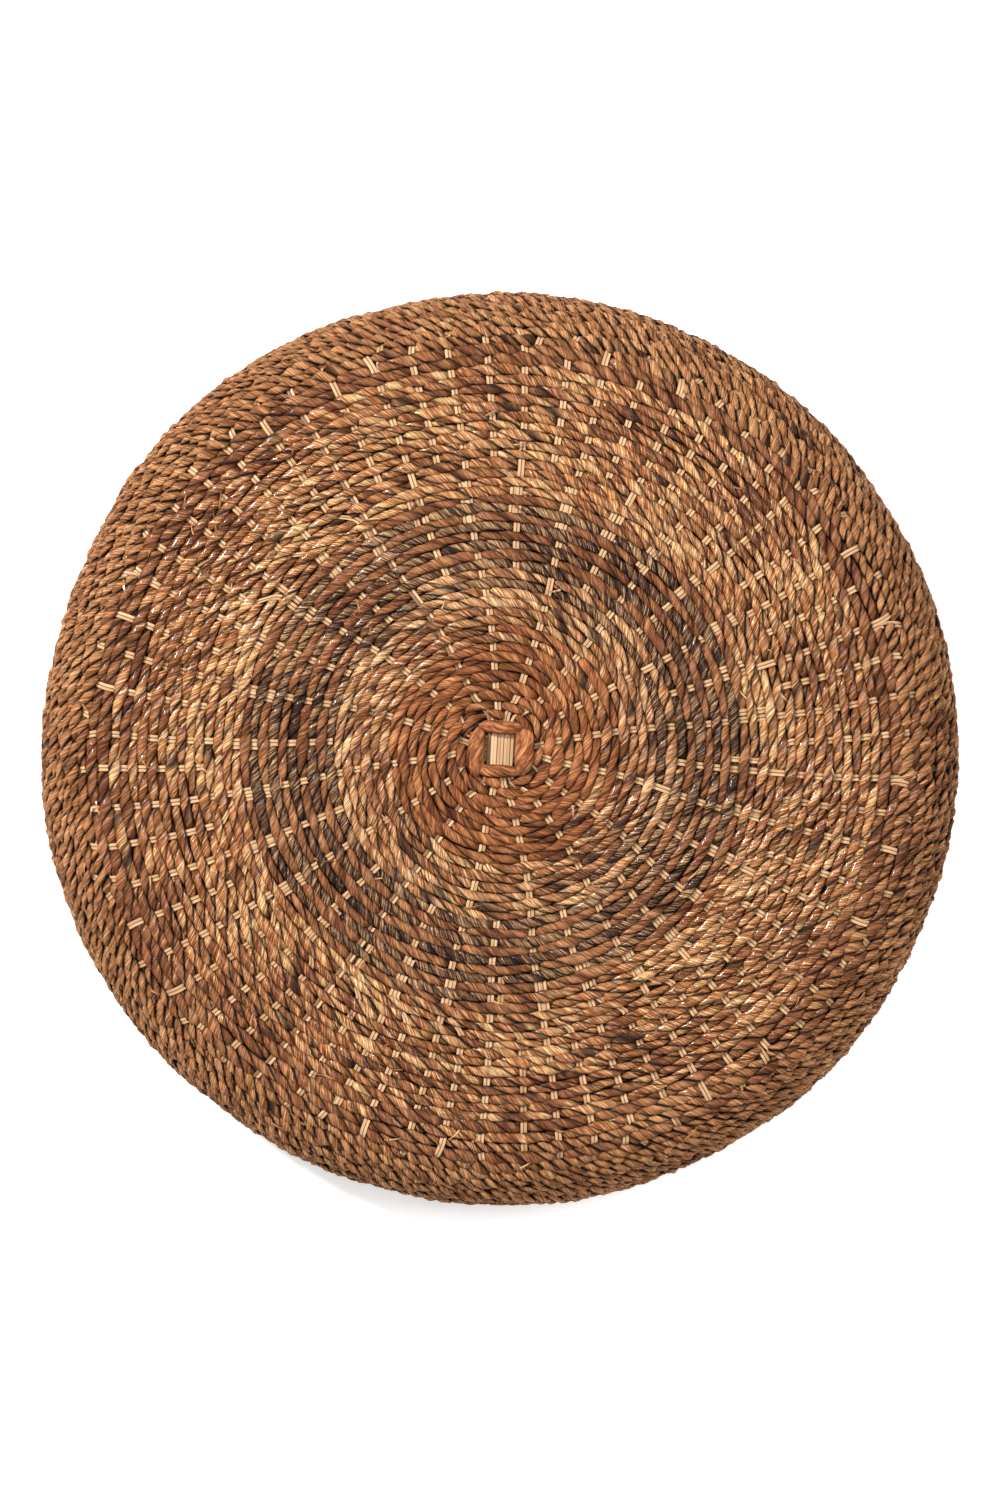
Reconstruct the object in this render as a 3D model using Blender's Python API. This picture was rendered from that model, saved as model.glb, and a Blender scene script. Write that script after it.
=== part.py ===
"""Round woven chair seat pad: leaf cord woven over cane stakes, round a soft filling.

Metres, +Z up. The origin is the centre of the underside, on the surface that the pad rests on.
A place on the pad is given as a distance along its outer surface from the centre of the face or of
the base, a depth below that surface, and an angle round the axis.
"""
import math

import bmesh
import bpy

# Overall sizes
PAD_DIAMETER = 0.420
PAD_THICKNESS = 0.060
CROWN_HEIGHT = 0.004
SHOULDER_RADIUS = 0.032
SIDE_HEIGHT = 0.006

# Cord and cane
CORD_THICKNESS = 0.0042
SPLINT_WIDTH = 0.0014
SPLINT_THICKNESS = 0.0008
LASHING_WIDTH = 0.0080
LASHING_CHAMFER = 0.0012
WINDOW_CORNER = 1.25  # how far the window's corners reach, in half-widths of its sides
LACING_DIAMETER = 0.0050
CLEARANCE = 0.0003

# The cross at the centre: straight arms under the lashing, then splints that spread into a fan
BUNDLE_PAIRS = 4
ARM_LENGTH = 0.0125
SPREAD_LENGTH = 0.0300
FIRST_STAKE_ANGLE = math.radians(8.0)
ARM_STARTS_BEFORE = 2  # an arm's fan starts this many stakes before the stake that names its quarter

# Where new stakes are pushed in on the face, where they part from their neighbours and settle
FIRST_INSERT = 0.0760
SECOND_INSERT = 0.1035
SECOND_PARTING = 0.1205
SECOND_SETTLED = 0.1320
THIRD_INSERT_BEFORE_SHOULDER = 0.0055

# The same on the base
BASE_INSERT = 0.0760
BASE_PARTING = 0.0860
BASE_SETTLED = 0.1060

# Rings of rows on the face and on the base, each by its outer edge or its width
CENTRE_RING = 0.0506
PALE_RING = 0.0760
DARK_RING = 0.1205
DULL_RING_WIDTH = 0.0115
BASE_CENTRE_RING = 0.0600
BASE_MIDDLE_RING = 0.1200

FACETS = 40
SHOULDER_STEPS = 4
EDGE_STEPS = 2
LASHING_STEPS = 24

# What follows from them
OUTER_RADIUS = PAD_DIAMETER / 2
PAIR_WIDTH = 2 * SPLINT_WIDTH
FAMILY_ANGLE = 2 * math.pi / (4 * BUNDLE_PAIRS)
STAKE_DEPTH = CORD_THICKNESS + CLEARANCE
LOWER_BUNDLE_DEPTH = STAKE_DEPTH + SPLINT_THICKNESS + CLEARANCE
FILLING_DEPTH = STAKE_DEPTH + SPLINT_THICKNESS + CLEARANCE
DISH_DEPTH = LOWER_BUNDLE_DEPTH + SPLINT_THICKNESS + CLEARANCE
BUNDLE_HALF_WIDTH = BUNDLE_PAIRS * (PAIR_WIDTH + CLEARANCE) / 2
LASHING_INNER = BUNDLE_HALF_WIDTH + CLEARANCE
LASHING_OUTER = LASHING_INNER + LASHING_WIDTH
RING_START = LASHING_OUTER + CLEARANCE

MATERIALS = {
    "cane": ((0.62, 0.42, 0.22), 0.55),
    "leaf_red_brown": ((0.30, 0.13, 0.05), 0.80),
    "leaf_pale": ((0.46, 0.26, 0.11), 0.55),
    "leaf_dark": ((0.20, 0.11, 0.06), 0.65),
    "leaf_golden": ((0.45, 0.24, 0.09), 0.45),
    "leaf_dull": ((0.31, 0.16, 0.07), 0.80),
    "leaf_tan": ((0.40, 0.21, 0.09), 0.80),
    "filling": ((0.80, 0.77, 0.70), 0.90),
}


class TopFace:
    """The crowned face, its rounded shoulder, the upright side and the lower edge, as one outline."""

    def __init__(self):
        flat_radius = OUTER_RADIUS - SHOULDER_RADIUS
        self.slope = 2 * math.atan(CROWN_HEIGHT / flat_radius)
        self.crown_radius = flat_radius / math.sin(self.slope) + SHOULDER_RADIUS
        self.crown_z = PAD_THICKNESS - self.crown_radius
        self.shoulder_z = self.crown_z + (self.crown_radius - SHOULDER_RADIUS) * math.cos(self.slope)
        self.edge_radius = self.shoulder_z - SIDE_HEIGHT
        self.flat_end = self.crown_radius * self.slope
        self.shoulder_end = self.flat_end + SHOULDER_RADIUS * (math.pi / 2 - self.slope)
        self.side_end = self.shoulder_end + SIDE_HEIGHT
        self.end = self.side_end + self.edge_radius * math.pi / 2

    def place(self, along, depth):
        """Radius and height of a point `along` the surface and `depth` below it."""
        if along <= self.flat_end:
            angle = along / self.crown_radius
            reach = self.crown_radius - depth
            return reach * math.sin(angle), self.crown_z + reach * math.cos(angle)
        if along <= self.shoulder_end:
            angle = self.slope + (along - self.flat_end) / SHOULDER_RADIUS
            reach = SHOULDER_RADIUS - depth
            middle = OUTER_RADIUS - SHOULDER_RADIUS
            return middle + reach * math.sin(angle), self.shoulder_z + reach * math.cos(angle)
        if along <= self.side_end:
            return OUTER_RADIUS - depth, self.shoulder_z - (along - self.shoulder_end)
        angle = (along - self.side_end) / self.edge_radius
        reach = self.edge_radius - depth
        middle = OUTER_RADIUS - self.edge_radius
        return middle + reach * math.cos(angle), self.edge_radius - reach * math.sin(angle)

    def along_at(self, radius):
        return self.crown_radius * math.asin(radius / self.crown_radius)

    def bends(self):
        """Distances along the outline at which a solid that follows it has its corners."""
        shoulder_step = (self.shoulder_end - self.flat_end) / SHOULDER_STEPS
        shoulder = [self.flat_end + shoulder_step * i for i in range(SHOULDER_STEPS + 1)]
        edge_step = (self.end - self.side_end) / EDGE_STEPS
        edge = [self.side_end + edge_step * i for i in range(EDGE_STEPS + 1)]
        return shoulder + edge


class BaseFace:
    """The flat underside."""

    def __init__(self, radius):
        self.end = radius

    def place(self, along, depth):
        return along, depth

    def along_at(self, radius):
        return radius

    def bends(self):
        return []


def clear_scene():
    for item in list(bpy.data.objects):
        bpy.data.objects.remove(item, do_unlink=True)


def get_material(name):
    material = bpy.data.materials.get(name)
    if material:
        return material
    color, roughness = MATERIALS[name]
    material = bpy.data.materials.new(name)
    material.use_nodes = True
    shader = material.node_tree.nodes["Principled BSDF"]
    shader.inputs["Base Color"].default_value = (*color, 1.0)
    shader.inputs["Roughness"].default_value = roughness
    shader.inputs["Metallic"].default_value = 0.0
    return material


def add_solid(name, vertices, faces, material):
    """A closed solid from its corners and faces, with every face turned outwards."""
    mesh = bpy.data.meshes.new(name)
    mesh.from_pydata(vertices, [], faces)
    solid = bmesh.new()
    solid.from_mesh(mesh)
    bmesh.ops.recalc_face_normals(solid, faces=solid.faces)
    solid.to_mesh(mesh)
    solid.free()
    mesh.materials.append(get_material(material))
    item = bpy.data.objects.new(name, mesh)
    bpy.context.scene.collection.objects.link(item)
    return item


def add_turned_solid(name, outline, material, round_outside=False):
    """A solid turned from a closed outline of (radius, height) points.

    A ring that goes round other pieces is drawn round its circle instead of inside it, so that the
    flats of its facets keep their clearance.
    """
    stretch = 1 / math.cos(math.pi / FACETS) if round_outside else 1.0
    vertices = []
    rows = []
    for radius, height in outline:
        if radius < CLEARANCE:
            rows.append([len(vertices)] * FACETS)
            vertices.append((0.0, 0.0, height))
            continue
        rows.append(range(len(vertices), len(vertices) + FACETS))
        for i in range(FACETS):
            angle = FIRST_STAKE_ANGLE + 2 * math.pi * i / FACETS
            reach = radius * stretch
            vertices.append((reach * math.cos(angle), reach * math.sin(angle), height))
    faces = []
    for row, following in zip(rows, rows[1:] + rows[:1]):
        for i in range(FACETS):
            j = (i + 1) % FACETS
            corners = [row[i], following[i], following[j], row[j]]
            corners = [c for k, c in enumerate(corners) if c != corners[k - 1]]
            if len(corners) > 2:
                faces.append(corners)
    return add_solid(name, vertices, faces, material)


def add_weave_ring(name, face, start, end, material, round_outside=False):
    """A ring of rows, one cord thick, between two distances along the surface."""
    inside = [b for b in face.bends() if start + CLEARANCE < b < end - CLEARANCE]
    places = [start] + inside + [end]
    outer = [face.place(s, 0.0) for s in places]
    inner = [face.place(s, CORD_THICKNESS) for s in reversed(places)]
    return add_turned_solid(name, outer + inner, material, round_outside)


def add_lashing(name, face, turn):
    """The cord bound round the cross: a collar with a square window over the crossing splints."""
    vertices = []
    for i in range(LASHING_STEPS):
        angle = 2 * math.pi * i / LASHING_STEPS
        square = LASHING_INNER / max(abs(math.cos(angle)), abs(math.sin(angle)))
        inner = min(square, LASHING_INNER * WINDOW_CORNER)
        outer = LASHING_OUTER
        profile = [
            (inner, LASHING_CHAMFER),
            (inner + LASHING_CHAMFER, 0.0),
            (outer - LASHING_CHAMFER, 0.0),
            (outer, LASHING_CHAMFER),
            (outer, CORD_THICKNESS),
            (inner, CORD_THICKNESS),
        ]
        for radius, depth in profile:
            height = face.place(face.along_at(outer), depth)[1]
            x = radius * math.cos(angle + turn)
            y = radius * math.sin(angle + turn)
            vertices.append((x, y, height))
    sides = len(profile)
    faces = []
    for i in range(LASHING_STEPS):
        j = (i + 1) % LASHING_STEPS
        for k in range(sides):
            m = (k + 1) % sides
            faces.append([i * sides + k, j * sides + k, j * sides + m, i * sides + m])
    return add_solid(name, vertices, faces, "leaf_red_brown")


def add_filling(top, base_edge):
    """The soft filling: everything inside the stakes, dished where the bundles cross."""
    dish_radius = math.hypot(ARM_LENGTH, BUNDLE_HALF_WIDTH) + CLEARANCE
    outline = [(0.0, top.place(0.0, DISH_DEPTH)[1])]
    outline.append(top.place(dish_radius, DISH_DEPTH))
    outline.append(top.place(SPREAD_LENGTH, FILLING_DEPTH))
    outline += [top.place(s, FILLING_DEPTH) for s in top.bends()]
    outline.append((base_edge, FILLING_DEPTH))
    outline.append((SPREAD_LENGTH, FILLING_DEPTH))
    outline.append((dish_radius, DISH_DEPTH))
    outline.append((0.0, DISH_DEPTH))
    return add_turned_solid("filling_pad", outline, "filling")


def add_rim_lacing(radius):
    """The cord that closes the rim, lying in the gap between the shell's lower edge and the base."""
    half = LACING_DIAMETER / 2
    outline = [(-half / 2, 0.0), (-half, half), (-half / 2, 2 * half)]
    outline += [(-r, z) for r, z in reversed(outline)]
    outline = [(radius + r, z) for r, z in outline]
    return add_turned_solid("rim_lacing", outline, "leaf_tan")


class Strip:
    """One flat stake: where it starts, what it lies beside at first, and the angles it then takes.

    `turns` lists (distance along the surface, angle), with straight runs between. A stake with a
    `parent` lies on its left (side 1) or right (side -1) until `parting`.
    """

    def __init__(self, start, turns, parent=None, side=0, parting=0.0):
        self.start = start
        self.turns = turns
        self.parent = parent
        self.side = side
        self.parting = parting

    def angle(self, along):
        before = self.turns[0]
        for after in self.turns:
            if along <= after[0]:
                share = (along - before[0]) / (after[0] - before[0]) if after[0] > before[0] else 0.0
                return before[1] + share * (after[1] - before[1])
            before = after
        return before[1]

    def lies_beside(self, along):
        return self.parent is not None and along <= self.parting

    def middle(self, along):
        """Angle and sideways offset of the stake's middle line."""
        if self.lies_beside(along):
            return self.parent.angle(along), self.side * PAIR_WIDTH
        return self.angle(along), 0.0


class Fork:
    """Stakes that share an edge where one was pushed in beside another, as one closed solid."""

    def __init__(self, face, stations):
        self.face = face
        self.stations = stations
        self.vertices = []
        self.index = {}
        self.faces = []

    def corner(self, position):
        key = tuple(round(c, 7) for c in position)
        if key not in self.index:
            self.index[key] = len(self.vertices)
            self.vertices.append(position)
        return self.index[key]

    def section(self, along, angle, offset):
        """Four corners across a radial stake: right and left on its outer side, then its inner."""
        corners = []
        for depth in (STAKE_DEPTH, STAKE_DEPTH + SPLINT_THICKNESS):
            radius, height = self.face.place(along, depth)
            for sideways in (offset - PAIR_WIDTH / 2, offset + PAIR_WIDTH / 2):
                x = radius * math.cos(angle) - sideways * math.sin(angle)
                y = radius * math.sin(angle) + sideways * math.cos(angle)
                corners.append(self.corner((x, y, height)))
        return corners

    def plan_section(self, x, y, direction, depth):
        """The same near the cross, from its middle in plan and the direction of the stake."""
        corners = []
        along = self.face.along_at(math.hypot(x, y))
        for below in (depth, depth + SPLINT_THICKNESS):
            height = self.face.place(along, below)[1]
            for sideways in (-PAIR_WIDTH / 2, PAIR_WIDTH / 2):
                cx = x - sideways * math.sin(direction)
                cy = y + sideways * math.cos(direction)
                corners.append(self.corner((cx, cy, height)))
        return corners

    def add_run(self, sections, open_sides, cap_start, cap_end):
        """Skin a run of sections. open_sides gives, for each cell, the sides that have no wall."""
        for a, b, opened in zip(sections, sections[1:], open_sides):
            self.faces.append([a[0], b[0], b[1], a[1]])
            self.faces.append([a[2], a[3], b[3], b[2]])
            if -1 not in opened:
                self.faces.append([a[0], a[2], b[2], b[0]])
            if 1 not in opened:
                self.faces.append([a[1], b[1], b[3], a[3]])
        if cap_start:
            first = sections[0]
            self.faces.append([first[0], first[1], first[3], first[2]])
        if cap_end:
            last = sections[-1]
            self.faces.append([last[0], last[2], last[3], last[1]])

    def add_strip(self, strip, others, lead=()):
        """Add a stake and its walls. `lead` holds sections that come before its first station."""
        places = [s for s in self.stations if s >= strip.start]
        sections = list(lead) + [self.section(s, *strip.middle(s)) for s in places]
        open_sides = [()] * len(lead)
        for near, far in zip(places, places[1:]):
            opened = []
            if strip.lies_beside(far):
                opened.append(-strip.side)
            for other in others:
                if other.parent is strip and other.start <= near and other.lies_beside(far):
                    opened.append(other.side)
            open_sides.append(opened)
        self.add_run(sections, open_sides, cap_start=not lead, cap_end=True)


def top_stations(top):
    """Where the face's stakes have their corners, from the fan to the foot of the side."""
    places = [SPREAD_LENGTH, FIRST_INSERT, SECOND_INSERT, SECOND_PARTING, SECOND_SETTLED]
    places.append(third_insert(top))
    places += [b for b in top.bends() if b <= top.side_end]
    return places


def third_insert(top):
    return top.flat_end - THIRD_INSERT_BEFORE_SHOULDER


def settled_angles(top):
    """How the four stakes of a family make room for a fifth one in their middle."""
    before = [FAMILY_ANGLE * i / 4 for i in range(4)]
    middle = sum(before) / 4
    after = [middle + FAMILY_ANGLE * (i - 2) / 5 for i in range(5)]
    settled = top.bends()[2]
    return before, after, settled


def primary_strips(top, angle):
    """A first stake and the one pushed in on its left."""
    before, after, settled = settled_angles(top)
    first_turns = [(0.0, angle), (top.flat_end, angle), (settled, angle + after[0])]
    first = Strip(0.0, first_turns)
    second_turns = [
        (SECOND_PARTING, angle),
        (SECOND_SETTLED, angle + before[1]),
        (top.flat_end, angle + before[1]),
        (settled, angle + after[1]),
    ]
    second = Strip(SECOND_INSERT, second_turns, first, 1, SECOND_PARTING)
    return [first, second]


def inserted_strips(top, angle):
    """An inserted stake, the one pushed in on its left, and the last one on its right."""
    before, after, settled = settled_angles(top)
    first_turns = [
        (0.0, angle + before[2]),
        (top.flat_end, angle + before[2]),
        (settled, angle + after[3]),
    ]
    first = Strip(FIRST_INSERT, first_turns)
    second_turns = [
        (SECOND_PARTING, angle + before[2]),
        (SECOND_SETTLED, angle + before[3]),
        (top.flat_end, angle + before[3]),
        (settled, angle + after[4]),
    ]
    second = Strip(SECOND_INSERT, second_turns, first, 1, SECOND_PARTING)
    third_turns = [(top.flat_end, angle + before[2]), (settled, angle + after[2])]
    third = Strip(third_insert(top), third_turns, first, -1, top.flat_end)
    return [first, second, third]


def base_strips(angle):
    """A stake of the base and the one pushed in on its left."""
    first = Strip(0.0, [(0.0, angle)])
    turns = [(BASE_PARTING, angle), (BASE_SETTLED, angle + FAMILY_ANGLE / 2)]
    second = Strip(BASE_INSERT, turns, first, 1, BASE_PARTING)
    return [first, second]


def add_cross_pair(name, face, stations, strips_at, bundle, number):
    """One pair of splints that runs through the cross, with its two arms and what lies beside them.

    Bundle 0 lies on top and bundle 1 passes under it. number counts across the bundle.
    """
    fork = Fork(face, stations)
    depth = LOWER_BUNDLE_DEPTH if bundle else STAKE_DEPTH
    fan_middle = (BUNDLE_PAIRS - 1) / 2
    for arm in (0, 1):
        place = number if arm == 0 else BUNDLE_PAIRS - 1 - number
        quarter = 2 * arm + (0 if bundle else 1)
        first = FIRST_STAKE_ANGLE + (quarter * BUNDLE_PAIRS - ARM_STARTS_BEFORE) * FAMILY_ANGLE
        heading = first + fan_middle * FAMILY_ANGLE
        sideways = (place - fan_middle) * (PAIR_WIDTH + CLEARANCE)
        strips = strips_at(first + place * FAMILY_ANGLE)
        side_x = -math.sin(heading) * sideways
        side_y = math.cos(heading) * sideways
        bend_x = math.cos(heading) * ARM_LENGTH + side_x
        bend_y = math.sin(heading) * ARM_LENGTH + side_y
        ray = strips[0].angle(SPREAD_LENGTH)
        spread = face.place(SPREAD_LENGTH, 0.0)[0]
        run = math.atan2(spread * math.sin(ray) - bend_y, spread * math.cos(ray) - bend_x)
        turn = (run - heading + math.pi) % (2 * math.pi) - math.pi
        lead = [
            fork.plan_section(side_x, side_y, heading, depth),
            fork.plan_section(bend_x, bend_y, heading + turn / 2, depth),
        ]
        for strip in strips:
            fork.add_strip(strip, strips, lead if strip is strips[0] else ())
    return add_solid(name, fork.vertices, fork.faces, "cane")


def add_inserted_stake(name, face, stations, strips):
    fork = Fork(face, stations)
    for strip in strips:
        fork.add_strip(strip, strips)
    return add_solid(name, fork.vertices, fork.faces, "cane")


def add_cross(prefix, face, stations, strips_at):
    for bundle, level in enumerate(("upper", "lower")):
        for number in range(BUNDLE_PAIRS):
            name = f"{prefix}_cross_{level}_{number + 1}"
            add_cross_pair(name, face, stations, strips_at, bundle, number)
    turn = FIRST_STAKE_ANGLE + ((BUNDLE_PAIRS - 1) / 2 - ARM_STARTS_BEFORE) * FAMILY_ANGLE
    add_lashing(f"{prefix}_lashing", face, turn)


def build_face(top):
    stations = top_stations(top)
    add_cross("face", top, stations, lambda angle: primary_strips(top, angle))
    for i in range(4 * BUNDLE_PAIRS):
        strips = inserted_strips(top, FIRST_STAKE_ANGLE + i * FAMILY_ANGLE)
        add_inserted_stake(f"face_stake_{i + 1:02d}", top, stations, strips)
    golden_end = third_insert(top)
    dull_end = golden_end + DULL_RING_WIDTH
    rings = [
        ("face_weave_centre", RING_START, CENTRE_RING, "leaf_red_brown"),
        ("face_weave_pale", CENTRE_RING, PALE_RING, "leaf_pale"),
        ("face_weave_dark", PALE_RING, DARK_RING, "leaf_dark"),
        ("face_weave_golden", DARK_RING, golden_end, "leaf_golden"),
        ("face_weave_dull", golden_end, dull_end, "leaf_dull"),
    ]
    for name, start, end, material in rings:
        add_weave_ring(name, top, start, end - CLEARANCE, material)
    shoulder_end = top.shoulder_end - CLEARANCE
    add_weave_ring("shoulder_weave", top, dull_end, shoulder_end, "leaf_tan", round_outside=True)
    add_weave_ring("side_weave", top, top.shoulder_end, top.end, "leaf_tan", round_outside=True)


def build_base(base):
    stations = [SPREAD_LENGTH, BASE_INSERT, BASE_PARTING, BASE_SETTLED, base.end]
    add_cross("base", base, stations, base_strips)
    rings = [
        ("base_weave_centre", RING_START, BASE_CENTRE_RING, "leaf_red_brown"),
        ("base_weave_middle", BASE_CENTRE_RING, BASE_MIDDLE_RING, "leaf_golden"),
        ("base_weave_outer", BASE_MIDDLE_RING, base.end + CLEARANCE, "leaf_tan"),
    ]
    for name, start, end, material in rings:
        add_weave_ring(name, base, start, end - CLEARANCE, material)


def build_pad():
    clear_scene()
    top = TopFace()
    shell_edge = OUTER_RADIUS - top.edge_radius
    lacing_radius = shell_edge - CLEARANCE - LACING_DIAMETER / 2
    base = BaseFace(lacing_radius - LACING_DIAMETER / 2 - CLEARANCE)
    build_face(top)
    build_base(base)
    add_filling(top, base.end)
    add_rim_lacing(lacing_radius)


build_pad()
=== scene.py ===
import bmesh
import bpy
import math
import numpy as np
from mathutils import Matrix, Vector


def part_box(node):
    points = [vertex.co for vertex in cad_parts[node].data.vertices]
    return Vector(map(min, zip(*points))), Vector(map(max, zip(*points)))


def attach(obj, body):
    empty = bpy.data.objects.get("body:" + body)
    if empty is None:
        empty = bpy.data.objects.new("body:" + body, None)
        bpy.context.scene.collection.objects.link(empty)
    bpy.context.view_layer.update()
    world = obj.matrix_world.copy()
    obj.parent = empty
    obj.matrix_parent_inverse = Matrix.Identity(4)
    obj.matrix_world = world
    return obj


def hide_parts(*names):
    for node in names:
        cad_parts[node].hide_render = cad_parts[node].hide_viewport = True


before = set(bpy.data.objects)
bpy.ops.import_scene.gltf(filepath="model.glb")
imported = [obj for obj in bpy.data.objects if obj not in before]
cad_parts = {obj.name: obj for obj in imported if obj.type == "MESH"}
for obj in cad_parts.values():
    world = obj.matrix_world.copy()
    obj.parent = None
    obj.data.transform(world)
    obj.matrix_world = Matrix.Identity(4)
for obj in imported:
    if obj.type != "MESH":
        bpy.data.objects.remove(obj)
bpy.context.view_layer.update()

# straight above the pad; the frame's longer side shows frameHeight of it
camera = {
    "lens": 110.0,
    "sensor": 36.0,
    "frameHeight": 0.690,
    "aimHeight": 0.024,
    "aside": (-0.00014, -0.00046),
}
studio = {
    "floorSize": 30.0,
    "floorColour": (0.86, 0.86, 0.85),
    "floorRoughness": 0.9,
    "floorSpecular": 0.1,
    "worldColour": (1.0, 1.0, 1.0),
    "worldStrength": 0.20,
    "floorGlow": 0.46,
}
# each light: place, what it points at, size of its face, watts
lights = {
    "key": ((-1.15, 0.85, 1.35), (0.0, 0.0, 0.0), 0.34, 52.0),
    "fill": ((1.25, 0.15, 1.25), (0.0, 0.0, 0.0), 0.7, 13.0),
    "overhead": ((0.15, 0.35, 2.3), (0.0, 0.0, 0.0), 0.8, 10.5),
    "low": ((-0.3, -1.6, 0.9), (0.0, 0.0, 0.03), 0.8, 7.0),
}


def deselectAll():
    if bpy.context.object and bpy.context.object.mode != "OBJECT":
        bpy.ops.object.mode_set(mode="OBJECT")
    bpy.ops.object.select_all(action="DESELECT")


def link(name, data):
    item = bpy.data.objects.new(name, data)
    bpy.context.scene.collection.objects.link(item)
    return item


def setSockets(shader, values):
    for name, value in values.items():
        shader.inputs[name].default_value = value


def aimAt(item, place, target):
    away = np.array(place) - np.array(target)
    flat = math.hypot(away[0], away[1])
    item.location = place
    item.rotation_euler = (math.atan2(flat, away[2]), 0.0, math.atan2(away[0], -away[1]))


def addStudio():
    deselectAll()
    bpy.ops.mesh.primitive_plane_add(size=studio["floorSize"], location=(0, 0, 0))
    floor = bpy.context.object
    floor.name = "studio_floor"
    finish = bpy.data.materials.new("pale_floor")
    finish.use_nodes = True
    setSockets(finish.node_tree.nodes["Principled BSDF"], {
        "Base Color": (*studio["floorColour"], 1.0),
        "Roughness": studio["floorRoughness"],
        "Specular IOR Level": studio["floorSpecular"],
        "Emission Color": (*studio["worldColour"], 1.0),
        "Emission Strength": studio["floorGlow"],
    })
    floor.data.materials.append(finish)
    world = bpy.data.worlds.new("studio_air")
    world.use_nodes = True
    setSockets(world.node_tree.nodes["Background"], {
        "Color": (*studio["worldColour"], 1.0),
        "Strength": studio["worldStrength"],
    })
    bpy.context.scene.world = world
    for name, (place, target, size, watts) in lights.items():
        data = bpy.data.lights.new(f"light_{name}", "AREA")
        data.shape = "DISK"
        data.size = size
        data.energy = watts
        aimAt(link(f"light_{name}", data), place, target)
    bpy.context.scene.view_settings.view_transform = "Standard"


def addCamera():
    data = bpy.data.cameras.new("studio_camera")
    data.lens = camera["lens"]
    data.sensor_width = camera["sensor"]
    item = link("studio_camera", data)
    reach = camera["frameHeight"] * camera["lens"] / camera["sensor"]
    item.location = (*camera["aside"], camera["aimHeight"] + reach)
    bpy.context.scene.camera = item


addCamera()
addStudio()
print("camera, floor and lights are in place")

# the outline that every row follows, as the CAD solids have it
shell = {
    "crownHeight": 0.004,
    "shoulderRadius": 0.032,
    "sideHeight": 0.006,
    "thickness": 0.0056,
    "facets": 40,
    "driftFrom": 0.11,
    "driftGrows": 0.09,
}
# the stakes: pairs of cane splints, in families that stand so many degrees apart
stakes = {
    "firstAngle": 8.0,
    "families": 16,
    "apart": 22.5,
    "pairWidth": 0.0032,
    "splintWidth": 0.00140,
    "splintThickness": 0.00075,
    "firstInsert": 0.0760,
    "secondInsert": 0.1035,
    "secondParting": 0.1205,
    "secondSettled": 0.1320,
    "secondCounts": 0.1265,
    "thirdBeforeShoulder": 0.0055,
    "thirdCounts": 0.0030,
    "thirdSettles": 0.0255,
    "baseParting": 0.0860,
    "baseCounts": 0.0910,
    "baseSettles": 0.0200,
    "pastShoulder": 0.0040,
    "baseStopsShort": 0.0015,
    "armLength": 0.0125,
    "spreadLength": 0.0300,
    "armStartsBefore": 2,
    "wave": 0.00030,
    "waveLength": 0.0019,
    "sunk": 0.0014,
    "tight": 0.00022,
    "levels": (0.00005, 0.00100),
    "levelFades": (0.010, 0.016),
    "straightShare": 0.72,
    "sinksOver": 0.012,
    "edgeShare": 0.28,
    "jitter": 0.55,
}
# how the rows are woven
rows = {
    "pitchesFrom": (0.0, 0.055, 0.168, 0.176, 0.188, 0.200, 0.300),
    "pitches": (0.00435, 0.00420, 0.00420, 0.00500, 0.00480, 0.00435, 0.00425),
    "start": 0.0128,
    "tail": 1.05,
    "tailSlope": 0.0052,
    "middleDepth": 0.0021,
    "lowestDepth": 0.00345,
    "fullness": 0.525,
    "halfHeight": 0.00210,
    "floatLift": 0.00020,
    "overLift": 0.00062,
    "underDip": 0.00195,
    "overSquash": 0.00045,
    "underSquash": 0.00085,
    "overSpread": 0.00042,
    "underPinch": 0.00022,
    "knobs": 0.00050,
    "shake": 0.00010,
    "bob": 0.00014,
    "step": 0.00135,
    "baseStep": 0.0018,
    "overReach": 0.0023,
    "underReach": 0.00125,
    "bites": (0.80, 1.12),
    "endsBefore": 0.55,
    "squareness": 0.045,
    "squareFrom": 0.014,
    "squareFades": 0.024,
    "wanderFrom": 0.012,
    "wanderGrows": 0.020,
    "hiddenFrom": 0.187,
    "hiddenBy": 0.197,
    "closedDip": 0.52,
    "closedSquash": 0.55,
    "joinSlack": 0.0016,
    "joinShift": 0.0035,
    "joinSpread": 0.0015,
    "darkEndsEarly": 0.0050,
    "dullWidth": 0.0118,
}


randomLength = 8192  # numbers in each random line, before it repeats


def smooth(value):
    value = np.clip(value, 0.0, 1.0)
    return value * value * (3 - 2 * value)


def waver(places, seed, spacing):
    # a smooth random line, from -1 to 1, that changes about once every spacing
    numbers = np.random.default_rng(seed).uniform(-1, 1, randomLength)
    steps = np.asarray(places) / spacing + 64.0  # keeps places just below 0 usable
    low = np.floor(steps).astype(int)
    part = smooth(steps - low)
    return numbers[low % randomLength] * (1 - part) + numbers[(low + 1) % randomLength] * part


def halfAcross(node):
    low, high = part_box(node)
    return (high.x - low.x) / 2


def ringRadius(node):
    # a CAD ring is a polygon, and its box misses the nearest corner by a degree
    return halfAcross(node) / math.cos(math.radians(1.0))


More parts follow.
